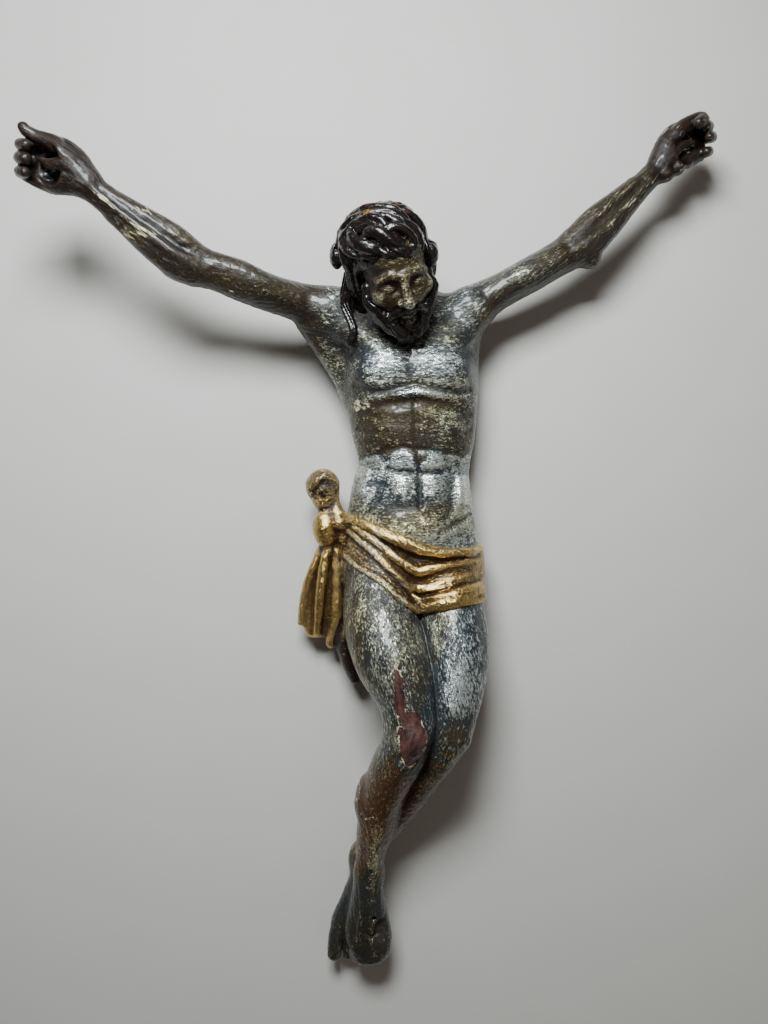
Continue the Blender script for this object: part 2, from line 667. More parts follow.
def torso():
    return [
        mass(limb([[13, -40, 16, 24, 12], [12.8, -26, 16.5, 29.5, 17], [12, -8, 17.5, 27.6, 16],
                   [11.6, 8, 17.5, 25.4, 15], [13.9, 22, 17.5, 23.2, 15],
                   [13.4, 36, 18, 26.3, 17.5], [12, 54, 18, 28.2, 19], [10.6, 74, 18.5, 27, 17],
                   [9, 88, 19.5, 19, 12]]), 0, 3),
        # The chest muscles, the ridge of the ribs below them and the flanks.
        *egg_pair(MID - 0.9, 11.7, 61, 31.4, [12.4, 10.6, 7.6], 5),
        *egg_pair(MID - 1.4, 19.6, 62, 24, [8, 12, 9], 3),
        mass(limb([[-5, 47, 30.5, 2.6], [5, 50.4, 34.6, 2.8], [13, 50, 35.4, 2.4],
                   [22, 50.4, 34, 2.8], [32, 47, 29.5, 2.6]]), 3),
        *egg_pair(MID - 1.6, 20, 60, 12, [9.4, 20, 11], 5),
        *egg_pair(MID + 1, 10.4, 36, 28.6, [9.6, 10.4, 6.4], 2.4),
        # The belly: two rows of muscle, the round below the navel, and the flanks.
        *egg_pair(MID + 1, 6.4, 21, 28.4, [6.2, 4.4, 5], 1.8),
        *egg_pair(MID + 1, 6, 9.4, 28.4, [5.8, 6.8, 5], 1.8),
        mass(egg(MID, -8, 26, [16, 10.5, 9.4]), 4),
        *egg_pair(MID, 18, 6, 20, [6.6, 13, 10.4], 3),
        # The lower edge of the chest, the ridge below it and the hollow under the ribs.
        relief([[-12.1, 54.4, 2.4, -0.7], [-6, 52.2, 2.6, -0.8], [0.8, 51.3, 2.6, -0.8],
                [7.2, 52.4, 2.6, -0.7], [13.5, 54.5, 2.6, -0.7], [19.5, 52.5, 2.6, -0.7],
                [26.4, 51.5, 2.6, -0.8], [32.6, 51.5, 2.4, -0.7], [36.9, 52.9, 2, -0.6]]),
        relief([[-0.6, 48.7, 2.6, 0.1], [7.4, 49.4, 2.8, 0.7], [14.3, 50.6, 3, 1.2],
                [21, 49.5, 2.8, 1], [28.8, 48.3, 2.6, 0.3]]),
        relief([[-7.7, 45.5, 4, -0.4], [0.4, 45.9, 4.4, -0.6], [7.6, 46.1, 4.4, -0.6],
                [14.4, 47.4, 4, -0.6], [23.8, 45.4, 4.4, -0.5], [33.5, 44.7, 4, -0.4]]),
        # The middle line, and the rows of muscle on the belly with the creases between them.
        relief([[13.1, 46.6, 2.2, -0.5], [13.6, 39.2, 2.4, -0.6], [13.2, 32.4, 2.4, -0.6],
                [14.1, 27, 2.2, -0.5]]),
        relief([[-10.1, 23.7, 2, -0.5], [-4.3, 25.1, 2.2, -0.6], [1.3, 26.7, 2.2, -0.6],
                [7.7, 27.3, 2.2, -0.6], [13.7, 26.5, 2, -0.6], [20.5, 26.5, 2.2, -0.5],
                [27.6, 25.9, 2.2, -0.5], [34, 24.4, 2, -0.5]]),
        relief([[7.7, 22.6, 5.4, 0.9], [10.7, 22.2, 5, 0.9]], 1),
        relief([[18.4, 21.8, 5, 0.8], [21.8, 21.4, 5, 0.8]], 1),
        relief([[1.7, 18.1, 1.8, -0.4], [7.7, 17.1, 1.9, -0.5], [15, 16.7, 1.9, -0.6],
                [22.3, 17.2, 1.9, -0.5], [28.5, 18.6, 1.8, -0.4]]),
        relief([[8.1, 12, 5.4, 0.8], [9, 6.8, 5.4, 0.6]], 1),
        relief([[21.9, 12.4, 5.4, 0.8], [21.9, 6.9, 5.4, 0.6]], 1),
        relief([[14.5, 24.4, 1.6, -0.5], [15, 18, 1.8, -0.7], [15.4, 9.4, 2, -0.8],
                [15.4, 3, 2, -0.8]]),
        relief([[15.4, 2.1, 2, -0.5]], 1),
        relief([[1.7, 18.1, 2.6, -0.4], [-0.4, 10.8, 3, -0.5], [-3.9, 3.4, 2.8, -0.7],
                [-7.8, -0.9, 2.4, -0.4]]),
        relief([[29, 19, 2.6, -0.4], [29.8, 10.8, 3, -0.5], [29.3, 3, 2.8, -0.6],
                [26.6, -3, 2.4, -0.4]]),
        relief([[23.9, -9, 2, -0.4], [28.4, -6.5, 2.6, -0.6], [33, -3.9, 2.6, -0.6],
                [37.8, -0.9, 2, -0.6]]),
        relief([[34, 13.9, 3.4, 0.6], [34.7, 5.2, 3.4, 0.7]]),
        relief([[-7.8, 18.3, 3.4, 0.5], [-9.6, 8.7, 3.4, 0.5]]),
        # The pit of the throat and the line down the breastbone.
        relief([[11.4, 70.7, 3.4, -0.2], [11, 63.4, 3.8, -0.3], [11.4, 56.6, 3.4, -0.4]]),
        # The edges of the ribs down the flanks.
        relief([[-10.4, 43.3, 1.8, -0.5], [-5.1, 41.1, 2, -0.4], [0, 41.3, 1.8, -0.2]]),
        relief([[37.5, 42.3, 1.8, -0.5], [31.7, 39.5, 2, -0.4], [26.4, 39.6, 1.8, -0.2]]),
        relief([[-10.9, 36.5, 1.8, -0.5], [-5.2, 34.3, 2, -0.4], [0, 34.5, 1.8, -0.2]]),
        relief([[37.6, 35.4, 1.8, -0.5], [31.8, 32.6, 2, -0.4], [26.4, 32.8, 1.8, -0.2]]),
        # The back: shoulder blades, the furrow of the spine, the buttocks.
        *egg_pair(MID - 1, 15, 69, 5, [9.5, 13.5, 5.8], 4),
        hollow(limb([[MID - 1, 84, 1, 2.5], [MID, 40, -0.5, 3], [MID, -6, 0.5, 3]]), 4),
        *egg_pair(MID, 13, -30, 11.5, [13.5, 14.5, 12.3], 4),
        hollow(limb([[MID, -22, -1, 1.6], [MID, -46, 1, 2]]), 3),
    ]


def arms():
    return [
        mass(limb([[-4, 82, 22, 13, 10.5], [-20, 87.4, 25.5, 10.6, 10], [-37, 90.6, 31, 8.1, 8.2],
                   [-56, 95.2, 37, 7.7, 7.8], [-71, 100.4, 41.5, 7.5, 7.4],
                   [-82, 103.4, 45, 8.7, 8], [-92, 110.5, 48, 8.5, 7.6],
                   [-104, 120, 51.5, 6.8, 6.3], [-114, 127.5, 54.5, 5.4, 4.9],
                   [-120.5, 132, 56, 5.7, 4.6]], side=[0.45, 0.9, 0], steps=3), 5),
        mass(limb([[28, 81, 20, 13, 10.5], [38, 89.6, 21.5, 10.2, 9.6], [50, 96.6, 23.5, 7.6, 8],
                   [64, 104, 25, 7.6, 7.8], [76, 110.8, 25.5, 7.5, 7.4],
                   [86.5, 117.4, 25.5, 8.4, 8.1], [96.4, 126, 25.5, 7.4, 7.4],
                   [108, 138.2, 25.5, 5.6, 6.2], [117.6, 148, 25.5, 5, 4.8],
                   [121.8, 152.6, 25.5, 5.2, 4.6]], side=[-0.55, 0.83, 0], steps=3), 5),
        # The shoulder muscles, biceps, elbow points and forearm muscles.
        mass(egg(-22, 89, 28.5, [11, 7.2, 8.5]), 4),
        mass(egg(38, 90, 24.5, [9.5, 7.6, 8]), 4),
        mass(limb([[-38, 91.5, 36, 4.2], [-50, 94.8, 40.5, 5.2], [-61, 99.6, 42.6, 5.6],
                   [-72, 103, 45, 4]]), 3),
        mass(limb([[48, 95.6, 28, 4], [62, 103, 30, 5], [75, 110, 30, 4]]), 3),
        mass(egg(-87, 101.6, 43.4, [4.2, 3.8, 4.5]), 3),
        mass(egg(90.8, 110.8, 24, [4.4, 3.8, 4.5]), 3),
        mass(limb([[-77, 105.6, 46, 4], [-83.8, 111.8, 48.5, 4.6], [-93.4, 117, 50.5, 4.4],
                   [-106, 123.4, 53.5, 2.8]]), 3),
        mass(limb([[82, 118.6, 27, 4], [90, 126.8, 28, 4.8], [98, 134, 28, 3.8],
                   [108, 143, 27, 2]]), 3),
        mass(limb([[-87, 102.4, 46.5, 3.8], [-97, 110.4, 49.5, 3.6], [-109, 119.6, 53, 2.4]]), 3),
        mass(limb([[91, 115.6, 27, 3.8], [99.6, 125, 28, 3], [110, 138, 28, 2.2]]), 3),
        # The long hollows between the muscles of the forearms, and the ridges beside them.
        relief([[-72, 103.4, 3, -0.3], [-82, 107.4, 3, -1], [-92, 113.4, 2.8, -1],
                [-104, 121.4, 2.4, -0.8], [-113, 128, 2, -0.3]], above=30),
        relief([[-74, 98.6, 2.6, 0.2], [-86, 105.4, 2.8, 0.8], [-98, 114, 2.6, 0.8],
                [-110, 123.4, 2.2, 0.6], [-117, 129.4, 2, 0.3]], above=30),
        relief([[78, 113.6, 3, -0.3], [90, 121.6, 3, -0.9], [101, 132, 2.6, -0.9],
                [112, 143.4, 2, -0.4]]),
        relief([[82, 111.4, 2.6, 0.2], [95, 121.4, 2.6, 0.7], [106, 132.6, 2.2, 0.6],
                [115, 143, 2, 0.3]]),
        # The folds of muscle that run from the chest and the back into the armpits.
        mass(limb([[-4, 72, 29, 7], [-16, 80, 29, 7.5], [-28, 87, 30, 6]]), 4),
        mass(limb([[28, 72, 28, 7], [35.4, 80, 26.5, 6], [41.6, 87.4, 25, 5]]), 4),
        mass(limb([[-12, 54, 15, 7], [-20, 68, 18, 7.4], [-31, 82.4, 26, 6.8]]), 5),
        mass(limb([[36, 54, 14, 4.8], [37, 70, 16, 5.2], [39.6, 84, 19, 4.6]]), 4),
    ]


def right_leg():
    """The leg in front: thigh, shin, kneecap, calf, the edge of the shin and the thigh's muscle."""
    return [
        mass(limb([[-1, -22, 18, 14, 14], [-1.5, -44, 29, 15.6, 15], [3, -61, 37, 15.4, 15],
                   [9, -75, 42.5, 12, 13.6], [11, -87, 46, 10.2, 12]]), 5, 2),
        mass(limb([[11, -87, 46, 10, 12], [8.4, -98, 44, 9.4, 11.2], [3.6, -109, 38.5, 9, 11],
                   [-0.8, -122, 32, 8.6, 10.4], [-3.2, -136, 27, 7.8, 9.4],
                   [-5.8, -149, 23.5, 6, 7.2], [-6.4, -161, 21.5, 5.4, 6.2]]), 3, 2),
        mass(egg(10.6, -91.6, 55.4, [6.6, 7.6, 5.2]), 2),
        mass(egg(-5.6, -124, 30, [7.4, 11, 8]), 3),
        mass(egg(3.6, -119, 27, [5, 12, 8]), 4),
        mass(limb([[8.4, -100, 54.4, 2.4], [2, -118, 43, 2.6], [-3.6, -140, 35, 2.2],
                   [-6, -156, 28.4, 1.8]]), 2.5),
        mass(limb([[0, -46, 39, 6], [4, -62, 47, 6.6], [9, -80, 52, 4.4]]), 4),
    ]


def left_leg():
    """The leg that passes behind the other."""
    return [
        mass(limb([[26, -22, 18, 14, 14], [28.8, -44, 26, 14.6, 14.6], [30, -60, 32, 14.4, 14.4],
                   [28.8, -76, 36.6, 12.6, 13], [26.4, -90, 39, 10.6, 12]]), 5, 2),
        mass(limb([[26.6, -90, 39, 10.6, 11.8], [22, -101, 36, 9.4, 10.8],
                   [15.2, -113, 29.4, 9.2, 10.4], [7.2, -127.4, 21.6, 8.8, 10],
                   [-1.4, -142.6, 15.4, 7, 8.2], [-7.6, -156, 11.6, 5.4, 6.6]]), 3, 2),
        mass(egg(28.6, -93, 44, [6.6, 7.4, 6]), 3),
        mass(limb([[26, -100, 46, 2.4], [14, -118, 35.4, 2.4], [0, -142, 22, 2]]), 2.5),
        mass(limb([[31, -46, 35.6, 6], [32, -62, 41, 6.4], [29, -80, 46.6, 4.4]]), 4),
    ]


def hips():
    """The trunk runs into each leg; the legs themselves only lie against each other."""
    return [Group([*torso(), *left_leg()], 0), Group([*torso(), *right_leg()], CREASE)]


def feet():
    return [
        # The upper foot, worn down to a blunt stump in front.
        mass(limb([[-6.6, -158, 21.6, 5.6, 6.4], [-7, -168, 20.4, 6.2, 7],
                   [-7.2, -179, 18, 8.2, 6.6], [-7, -189, 15.6, 9.2, 6.2],
                   [-6.8, -199.4, 13.8, 8.8, 5.4]]), 3, 2),
        mass(egg(-6.2, -163, 13.6, [5, 6.4, 6]), 3),
        mass(egg(-11.4, -188, 17.6, [5.6, 10, 4.6]), 3),
        mass(egg(-2.4, -192, 16.4, [5.2, 9, 4.8]), 3),
        hollow(egg(-1.4, -184, 22.8, [2.6, 4, 1.6]), 2.4),
        # The nail hole, and the creases over the instep.
        hollow(limb([[-4.4, -178.4, 27, 1.1], [-4.4, -177.4, 16, 1]]), 0.3),
        relief([[-8, -185.4, 1.4, -0.3], [-5.4, -187.4, 1.5, -0.9], [-2.4, -186.2, 1.4, -0.3]]),
        relief([[-9.6, -171, 1.6, 0.3], [-10.4, -181, 1.8, 0.8], [-11.4, -191, 1.8, 0.5]]),
        relief([[-6.4, -172, 1.4, 0.3], [-5.6, -188, 1.7, 0.5], [-4.4, -196, 1.7, 0.4]]),
        # The foot below, whose big toe and second toe show beside it.
        mass(limb([[-8, -155, 11.6, 6, 6.4], [-9.8, -168, 9.6, 5.8, 6],
                   [-14.2, -182, 8.2, 6.9, 5], [-17.4, -191, 7.6, 7.2, 4.4]]), 3, 2),
        mass(egg(-11.4, -158.5, 9, [4.6, 6.4, 6.4]), 3),
        mass(limb([[-19.2, -184, 9.6, 3.2], [-21.8, -193, 10, 3.5], [-22.8, -202, 9.6, 3.2]]), 1),
        mass(limb([[-16.6, -188, 8.6, 2.7], [-16.8, -196, 7.8, 2.7],
                   [-16.8, -203.4, 7, 2.5]]), 0.8),
        mass(limb([[-11.6, -188, 7.6, 2.6], [-11, -196, 6.4, 2.4], [-10.6, -200, 5.6, 2]]), 0.8),
    ]


def head():
    return [
        mass(egg(-0.2, 6, -2.4, [14.6, 13.6, 15.6], HEAD), 3),
        mass(egg(0, 6.4, 2.6, [11.4, 7, 11.6], HEAD), 3),
        mass(egg(0, -6.4, 5, [13, 14.2, 12], HEAD), 4),
        mass(egg(0, -18.6, 11.2, [5.4, 4.2, 4.6], HEAD), 3),
        # Brow, sockets, lids, nose, cheeks and lips.
        mass(on_head([[-9.6, 0.2, 11.6, 1.4], [-5, 2.2, 14.4, 1.6], [0, 1.4, 15.4, 1.6],
                      [5, 2.2, 14.4, 1.6], [9.6, 0.2, 11.6, 1.4]]), 2.6),
        *mirrored(lambda s: hollow(egg(s * 5.8, -2.4, 17, [4.2, 3, 3.2], HEAD), 1.6)),
        *egg_pair(0, 5.8, -2.9, 12.4, [3.5, 2.7, 3], 0.6, HEAD),
        *mirrored(lambda s: hollow(on_head([[s * 2.8, -3.8, 15.2, 0.3], [s * 5.6, -5, 15.6, 0.4],
                                            [s * 8.6, -3.8, 14.4, 0.3]]), 0.3)),
        mass(on_head([[0, 1.6, 16.2, 1.5], [0, -4, 18.2, 1.7], [0, -8.2, 20.4, 2.3]]), 1.6),
        *egg_pair(0, 2.6, -8.8, 17.6, [1.7, 1.5, 2.1], 1, HEAD),
        *egg_pair(0, 8.8, -6.6, 11, [4, 3.4, 3.6], 2.5, HEAD),
        mass(on_head([[-3.8, -13.2, 15.4, 0.9], [0, -12.6, 17, 1.3],
                      [3.8, -13.2, 15.4, 0.9]]), 0.8),
        mass(on_head([[-3.4, -14.8, 15.2, 0.9], [0, -15.2, 16.4, 1.4],
                      [3.4, -14.8, 15.2, 0.9]]), 0.8),
    ]


def knot():
    return [
        mass(egg(-27.4, 11.6, 19, [7.6, 7.8, 6.8]), 0),
        mass(egg(-26, 5.6, 19, [5.6, 6, 5.4]), 2.4),
        relief([[-30.6, 12, 2.2, 0.5], [-29.4, 14.4, 2.4, 0.6], [-26.6, 16.6, 2.4, 0.6],
                [-21, 13.4, 2.2, 0.5]]),
        relief([[-31, 8.6, 2.4, -0.3], [-28.4, 11.4, 3, -0.5], [-24.4, 12.8, 3, -0.5],
                [-21.4, 9, 2.4, -0.3]]),
        slim([[-23, 8, 19, 2.6], [-21.6, 2, 20.5, 2.8], [-19.6, -5, 23, 3.2]], 1.2),
        mass(egg(-25.6, -7, 20, [6.2, 9, 6.2]), 1),
        slim([[-26.4, 3.4, 18, 3], [-21, -2, 20, 4], [-15, -6, 22, 4.4]], 1.6),
        # The flared end: a thick fall of cloth with three ridges and the hollows between them.
        slim([[-24, -13.4, 15, 4.4, 4], [-26.2, -24, 14, 7, 4.4], [-27.8, -36, 13, 8.8, 4.2],
              [-28.6, -47, 12, 9.2, 3.8], [-27.6, -54, 11, 8, 3]], 1.4),
        slim([[-26, -14, 17.6, 2], [-31.6, -25, 17, 2], [-35.6, -36, 15, 1.9],
              [-37.6, -50, 12.4, 1.8]], 1),
        slim([[-24.4, -14, 20, 2.2], [-27, -26, 20.2, 2.3], [-28.6, -40, 18.6, 2.4],
              [-30.4, -54.4, 14.4, 2]], 0.9),
        slim([[-21.6, -14, 19, 2.2], [-20.8, -28, 18.4, 2.4], [-21.2, -44, 16, 2.8],
              [-24, -59.4, 12, 2.6]], 0.9),
        hollow(limb([[-29.4, -21, 20, 0.9], [-32.2, -36, 18.6, 1.9], [-34, -55, 15.6, 2.2]],
                    steps=3), 0.7),
        hollow(limb([[-23.6, -20, 21.4, 0.9], [-24.6, -38, 20, 1.9], [-26.8, -57, 16, 1.9]],
                    steps=3), 0.7),
        # The longer end behind it.
        slim([[-18.6, -44, 11, 4, 4.6], [-18.4, -58, 12, 4, 5], [-15.2, -69, 12.4, 3.8, 5],
              [-13, -75.4, 12, 2.8, 4]], 1.2),
        # Where the lower bulb lies against the hip.
        mass(egg(-17.6, -10.6, 19, [4, 4.4, 5]), 2),
    ]


# Finishes


def linear(colour):
    """An sRGB colour in hex as linear light."""
    parts = [int(colour[i:i + 2], 16) / 255 for i in (0, 2, 4)]
    return (*[c / 12.92 if c < 0.04045 else ((c + 0.055) / 1.055) ** 2.4 for c in parts], 1)


class Finish:
    """A material whose nodes are added one by one."""

    def __init__(self, name):
        self.material = bpy.data.materials.new(name)
        self.material.use_nodes = True
        self.tree = self.material.node_tree
        self.tree.nodes.clear()
        self.shader = self.tree.nodes.new("ShaderNodeBsdfPrincipled")
        output = self.tree.nodes.new("ShaderNodeOutputMaterial")
        self.tree.links.new(self.shader.outputs[0], output.inputs["Surface"])

    def put(self, kind, values, output=0, **settings):
        """Adds a node with its settings, values and links, and gives one of its outputs."""
        node = self.tree.nodes.new("ShaderNode" + kind)
        for key, value in settings.items():
            setattr(node, key, value)
        self.set(node, values)
        return node.outputs[output]

    def set(self, node, values):
        for key, value in values.items():
            if isinstance(value, bpy.types.NodeSocket):
                self.tree.links.new(value, node.inputs[key])
            else:
                node.inputs[key].default_value = value

    def grain(self, place, size, detail, roughness, stretch, seed):
        """Cloudy spots of about this size in millimetres, longer where stretched."""
        moved = self.put("Mapping", {"Vector": place, "Location": (seed, seed, seed),
                                     "Scale": (size * stretch, size, size)}, vector_type="TEXTURE")
        return self.put("TexNoise", {"Vector": moved, "Scale": 1.0, "Detail": detail,
                                     "Roughness": roughness})

    def worn(self, low, high, *parts):
        """Where the sum of patterns and marks, each by its share, passes from low to high."""
        total = 0.0
        for pattern, share in parts:
            total = self.put("Math", {0: pattern, 1: share, 2: total}, operation="MULTIPLY_ADD")
        return self.put("MapRange", {"Value": total, "From Min": low, "From Max": high})

    def laid(self, ground, *layers):
        """Lays colours over a ground, each where its own mask is above zero."""
        # A Mix node takes two colours at its sockets 6 and 7 and gives the mixed one at its third.
        for colour, mask in layers:
            ground = self.put("Mix", {0: mask, 6: ground, 7: colour}, 2, data_type="RGBA")
        return ground

    def marks(self, *names):
        """The wear that was worked out over the surface of the piece."""
        return [self.put("Attribute", {}, "Fac", attribute_name=name) for name in names]


def silvered_limewood():
    """Limewood laid with chalk gesso, red bole and silver leaf, toned with a yellow varnish.

    The leaf has tarnished almost black and is rubbed through in short strokes along the grain of
    the carver's rasp, so the eye meets pale metal flecks on a dark ground, cream chalk where it is
    scuffed, and smooth red bole where it has come away.
    """
    f = Finish("silvered limewood")
    lie = f.put("Attribute", {}, "Vector", attribute_name="lie")
    # Rasp strokes 1 mm wide and 3 mm long with finer ones between them; the scratches inside
    # them are too fine to show and are drawn as coarse as they need to be seen.
    flecks = f.grain(lie, size=1.0, detail=5.0, roughness=0.72, stretch=3.0, seed=3.1)
    fine = f.grain(lie, size=0.6, detail=3.0, roughness=0.7, stretch=2.2, seed=7.9)
    # Blotches of about 4 mm and clouds of 17 mm, as large as a thumb's rub.
    blotches = f.grain(lie, size=4.2, detail=4.0, roughness=0.62, stretch=1.8, seed=11.7)
    clouds = f.grain(lie, size=17.0, detail=2.0, roughness=0.5, stretch=1.3, seed=5.3)
    tone, warm, cream, paint, loss, rub = f.marks("tone", "warm", "cream", "paint", "loss", "rub")

    pale = f.worn(1.3, 1.5, (flecks, 1.0), (fine, 0.8), (blotches, 0.6), (clouds, 0.25),
                  (tone, 0.3), (rub, 0.06))
    warmth = f.worn(0.5, 1.15, (clouds, 0.8), (blotches, 0.5), (flecks, 0.3), (warm, 0.5))
    bright = f.worn(0.66, 0.92, (fine, 0.8), (flecks, 0.6), (tone, 0.1), (rub, 0.12))
    silver = f.laid(linear("4f5c5a"), (linear("f6fcf8"), bright))
    toned = f.laid(linear("4e4a2e"), (linear("e0dbae"), bright))
    tarnish = f.laid(linear("0d0e12"), (linear("3c4448"), fine))
    browned = f.laid(linear("120c07"), (linear("4c4028"), fine))
    # Where it is warmest, a reddish varnish lies over the leaf.
    russet = f.worn(1.35, 1.9, (warm, 0.9), (blotches, 0.9))
    ground = f.laid(tarnish, (browned, warmth), (linear("4c2e1a"), russet))
    body = f.laid(ground, (f.laid(silver, (toned, warmth)), pale))

    # Chalk shows cream where the leaf is scuffed, in chips of 1 to 2 mm.
    scuffs = f.grain(lie, size=1.6, detail=6.0, roughness=0.76, stretch=2.4, seed=23.0)
    chalk = f.worn(0.76, 0.8, (scuffs, 1.0), (cream, 0.25), (rub, 0.07), (blotches, 0.15))
    chalky = f.laid(linear("a99a6c"), (linear("ece4c4"), fine))

    # Dark brown paint covers the hands, the feet and the hollows.
    cover = f.worn(0.85, 1.35, (paint, 1.0), (blotches, 0.7), (flecks, 0.5), (rub, -0.14))
    soot = f.laid(linear("0c0908"), (linear("35261d"), f.worn(0.4, 0.8, (fine, 0.7), (rub, 0.1),
                                                             (flecks, 0.3))))
    body = f.laid(body, (soot, cover), (chalky, chalk))

    # Red bole, smooth from its burnishing, inside a rim of chalk 0.2 to 2 mm wide.
    ragged = f.grain(lie, size=1.2, detail=4.0, roughness=0.6, stretch=1.0, seed=31.0)
    uneven = f.grain(lie, size=2.6, detail=3.0, roughness=0.6, stretch=1.0, seed=43.0)
    rim = f.worn(0.7, 0.82, (loss, 1.0), (ragged, 1.4))
    inner = f.worn(-1.0, -0.85, (loss, 1.0), (ragged, 1.4), (uneven, -3.4))
    bole = f.laid(linear("2c1b1c"), (linear("704a44"), f.worn(0.35, 0.75, (blotches, 1.0))))
    body = f.laid(body, (f.laid(chalky, (bole, inner)), rim))

    metallic = f.worn(0, 1.2, (pale, 0.75), (cover, -0.6), (rim, -1.0), (chalk, -1.0), (1.0, 0.2))
    rough = f.worn(0, 1, (pale, -0.04), (chalk, 0.3), (rim, 0.3), (inner, -0.45), (cover, 0.05),
                   (fine, 0.2), (blotches, 0.16), (1.0, 0.1))
    height = f.worn(-1, 3, (pale, 0.3), (chalk, -0.4), (flecks, 1.1), (fine, 0.9), (rim, -0.8))
    bump = f.put("Bump", {"Height": height, "Distance": 0.8 * MM})
    f.set(f.shader, {"Base Color": body, "Metallic": metallic, "Roughness": rough,
                     "Normal": bump, "Coat Weight": f.worn(0, 1, (cover, -0.12), (1.0, 0.35)),
                     "Specular IOR Level": 0.3, "Coat Roughness": 0.1})
    return f.material


def gilded_limewood():
    """Limewood laid with red bole and gold leaf, burnished with a stone.

    The gold shines on the folds, and the purple-brown bole and specks of chalk come through
    where hands and dusters have worn it.
    """
    f = Finish("gilded limewood")
    lie = f.put("Attribute", {}, "Vector", attribute_name="lie")
    # Rubbed spots 0.8 mm wide along the folds, scratches between them, and blotches of 5 mm.
    flecks = f.grain(lie, size=0.8, detail=5.0, roughness=0.72, stretch=2.6, seed=2.3)
    fine = f.grain(lie, size=0.5, detail=2.0, roughness=0.6, stretch=1.6, seed=4.7)
    blotches = f.grain(lie, size=4.6, detail=4.0, roughness=0.62, stretch=2.0, seed=9.1)
    tone, cream, rub, paint = f.marks("tone", "cream", "rub", "paint")
    left = f.worn(1.2, 1.32, (flecks, 1.1), (fine, 0.9), (blotches, 0.5), (tone, 0.3), (rub, 0.09))
    gold = f.laid(linear("5a3a18"), (linear("fbd988"), f.worn(0.4, 0.75, (fine, 0.7),
                                                             (blotches, 0.3), (rub, 0.12))))
    bole = f.laid(linear("120a09"), (linear("3c251c"), f.worn(0.35, 0.7, (flecks, 1.0))))
    scuffs = f.grain(lie, size=1.1, detail=6.0, roughness=0.78, stretch=2.0, seed=17.0)
    chalk = f.worn(0.72, 0.77, (scuffs, 1.0), (cream, 0.25), (rub, 0.08))
    cover = f.worn(0.8, 1.2, (paint, 1.0), (blotches, 0.6), (flecks, 0.3), (rub, -0.25))
    body = f.laid(bole, (gold, left), (linear("24150f"), cover),
                  (f.laid(linear("7d8270"), (linear("ece6cc"), fine)), chalk))
    metallic = f.worn(0, 1, (left, 0.85), (chalk, -0.7), (cover, -0.7), (1.0, 0.1))
    rough = f.worn(0, 1, (left, -0.1), (chalk, 0.3), (fine, 0.2), (blotches, 0.1), (1.0, 0.06))
    height = f.worn(-1, 3, (left, 0.4), (fine, 0.9), (flecks, 1.0), (blotches, 1.2))
    bump = f.put("Bump", {"Height": height, "Distance": 0.9 * MM})
    f.set(f.shader, {"Base Color": body, "Metallic": metallic, "Roughness": rough,
                     "Normal": bump, "Coat Weight": 0.15, "Coat Roughness": 0.15})
    return f.material


def painted_limewood():
    """Carved hair in dark brown oil paint under many coats of varnish, glossy as toffee.

    The paint has rubbed to red-brown at the crown, with a trace of gold.
    """
    f = Finish("brown painted limewood")
    lie = f.put("Attribute", {}, "Vector", attribute_name="lie")
    # Rubbed patches of 5 mm and brush marks 1 mm wide.
    blotches = f.grain(lie, size=5.0, detail=4.0, roughness=0.6, stretch=1.0, seed=6.1)
    flecks = f.grain(lie, size=1.0, detail=5.0, roughness=0.65, stretch=1.5, seed=8.3)
    tone, cream, rub = f.marks("tone", "cream", "rub")
    rubbed = f.worn(0.95, 1.3, (blotches, 0.9), (tone, 0.32), (rub, 0.09), (flecks, 0.5))
    gilt = f.worn(0.84, 0.96, (flecks, 1.0), (cream, 0.5))
    paint = f.laid(linear("0b090a"), (linear("1c1411"), f.worn(0.3, 0.7, (flecks, 1.0))))
    body = f.laid(paint, (linear("4a2b1c"), rubbed), (linear("b58a45"), gilt))
    rough = f.worn(0, 1, (flecks, 0.3), (rubbed, 0.12), (1.0, 0.1))
    height = f.worn(0, 2, (flecks, 1.0), (blotches, 0.4))
    bump = f.put("Bump", {"Height": height, "Distance": 0.3 * MM, "Strength": 0.8})
    f.set(f.shader, {"Base Color": body, "Roughness": rough, "Normal": bump,
                     "Metallic": f.worn(0, 1, (gilt, 0.7)), "Coat Weight": 0.25,
                     "Coat Roughness": 0.1, "IOR": 1.45})
    return f.material


def painted_board():
    """A plain pale board, painted matt with a roller that leaves a faint stipple."""
    f = Finish("painted board")
    place = f.put("Mapping", {"Vector": f.put("TexCoord", {}, "Object"), "Scale": (1 / MM,) * 3})
    # The paint shifts a little every 40 mm, and the stipple is 2.5 mm across.
    shift = f.grain(place, size=40.0, detail=3.0, roughness=0.6, stretch=1.0, seed=1.0)
    stipple = f.grain(place, size=2.5, detail=3.0, roughness=0.6, stretch=1.0, seed=2.0)
    body = f.laid(linear("c9c5bf"), (linear("cfccc6"), shift))
    bump = f.put("Bump", {"Height": stipple, "Distance": 0.1 * MM, "Strength": 0.3})
    f.set(f.shader, {"Base Color": body, "Roughness": 0.85, "Normal": bump})
    return f.material


# Wear

